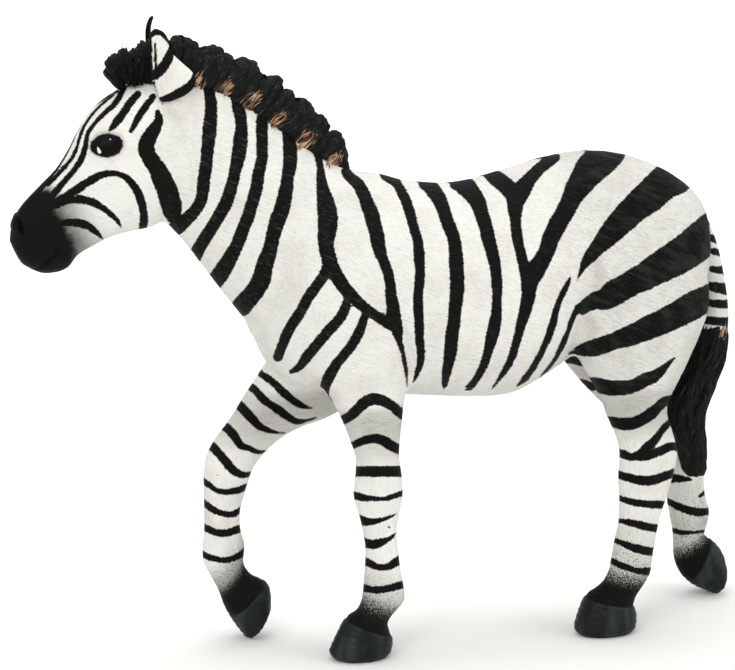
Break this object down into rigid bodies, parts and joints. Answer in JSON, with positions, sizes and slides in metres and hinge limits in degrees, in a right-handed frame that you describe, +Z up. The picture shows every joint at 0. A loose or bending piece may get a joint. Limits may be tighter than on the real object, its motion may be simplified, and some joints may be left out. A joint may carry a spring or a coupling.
{
  "type": "toy zebra figure",
  "caption": "Hand-painted moulded zebra figurine in a walking pose, free-standing on its hooves, with a separate mane, forelock, ears, tail, head and legs.",
  "frame": {"origin": "on the floor, under the middle of the figure's bounding box", "axes": "-X is where the animal faces, -Y is its left side, +Z is up, and it stands on z = 0"},
  "size_m": [0.1413, 0.031, 0.1165],
  "materials": {
    "body_paint": "solid moulded plastic, matt off-white paint with hand-painted black stripes, dark satin hooves and eyes",
    "hair_paint": "solid moulded plastic, near-black satin paint with tan touches at the roots of the hair"
  },
  "bodies": {
    "root": {"torso": "body_paint", "head_neck": "body_paint", "front_left_leg": "body_paint", "front_right_leg": "body_paint", "rear_left_leg": "body_paint", "rear_right_leg": "body_paint", "left_ear": "body_paint", "right_ear": "body_paint", "mane": "hair_paint", "forelock": "hair_paint", "tail": "hair_paint"}
  },
  "joints": []
}
